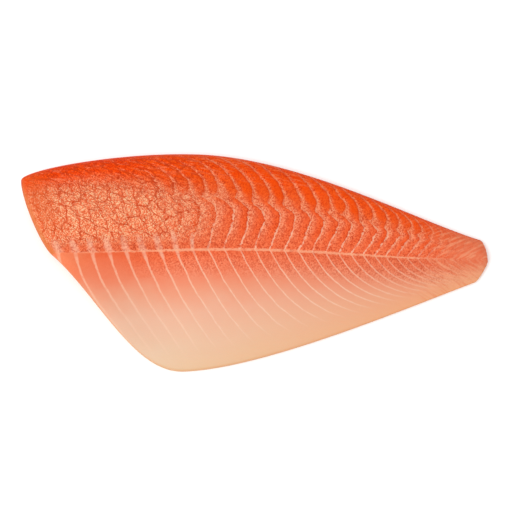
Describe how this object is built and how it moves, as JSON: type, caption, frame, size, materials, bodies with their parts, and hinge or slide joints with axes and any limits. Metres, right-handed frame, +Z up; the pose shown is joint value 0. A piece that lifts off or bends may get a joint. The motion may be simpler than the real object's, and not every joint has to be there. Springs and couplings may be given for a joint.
{
  "type": "raw fish fillet",
  "caption": "Raw skinless fish fillet, deep orange along the back and pale at the belly, with curved flake lines on both sides of a pale midline; lies flat, outer side up.",
  "frame": {"origin": "centre of the bounding box in plan, on the flat underside", "axes": "+X to the tail end, +Y to the back edge, +Z up from the flat inner face to the outer side"},
  "size_m": [0.253, 0.1214, 0.0224],
  "materials": {
    "flesh": "moist satin, deep orange at the back edge fading to pale peach at the belly"
  },
  "bodies": {
    "root": {"fillet": "flesh"}
  },
  "joints": []
}
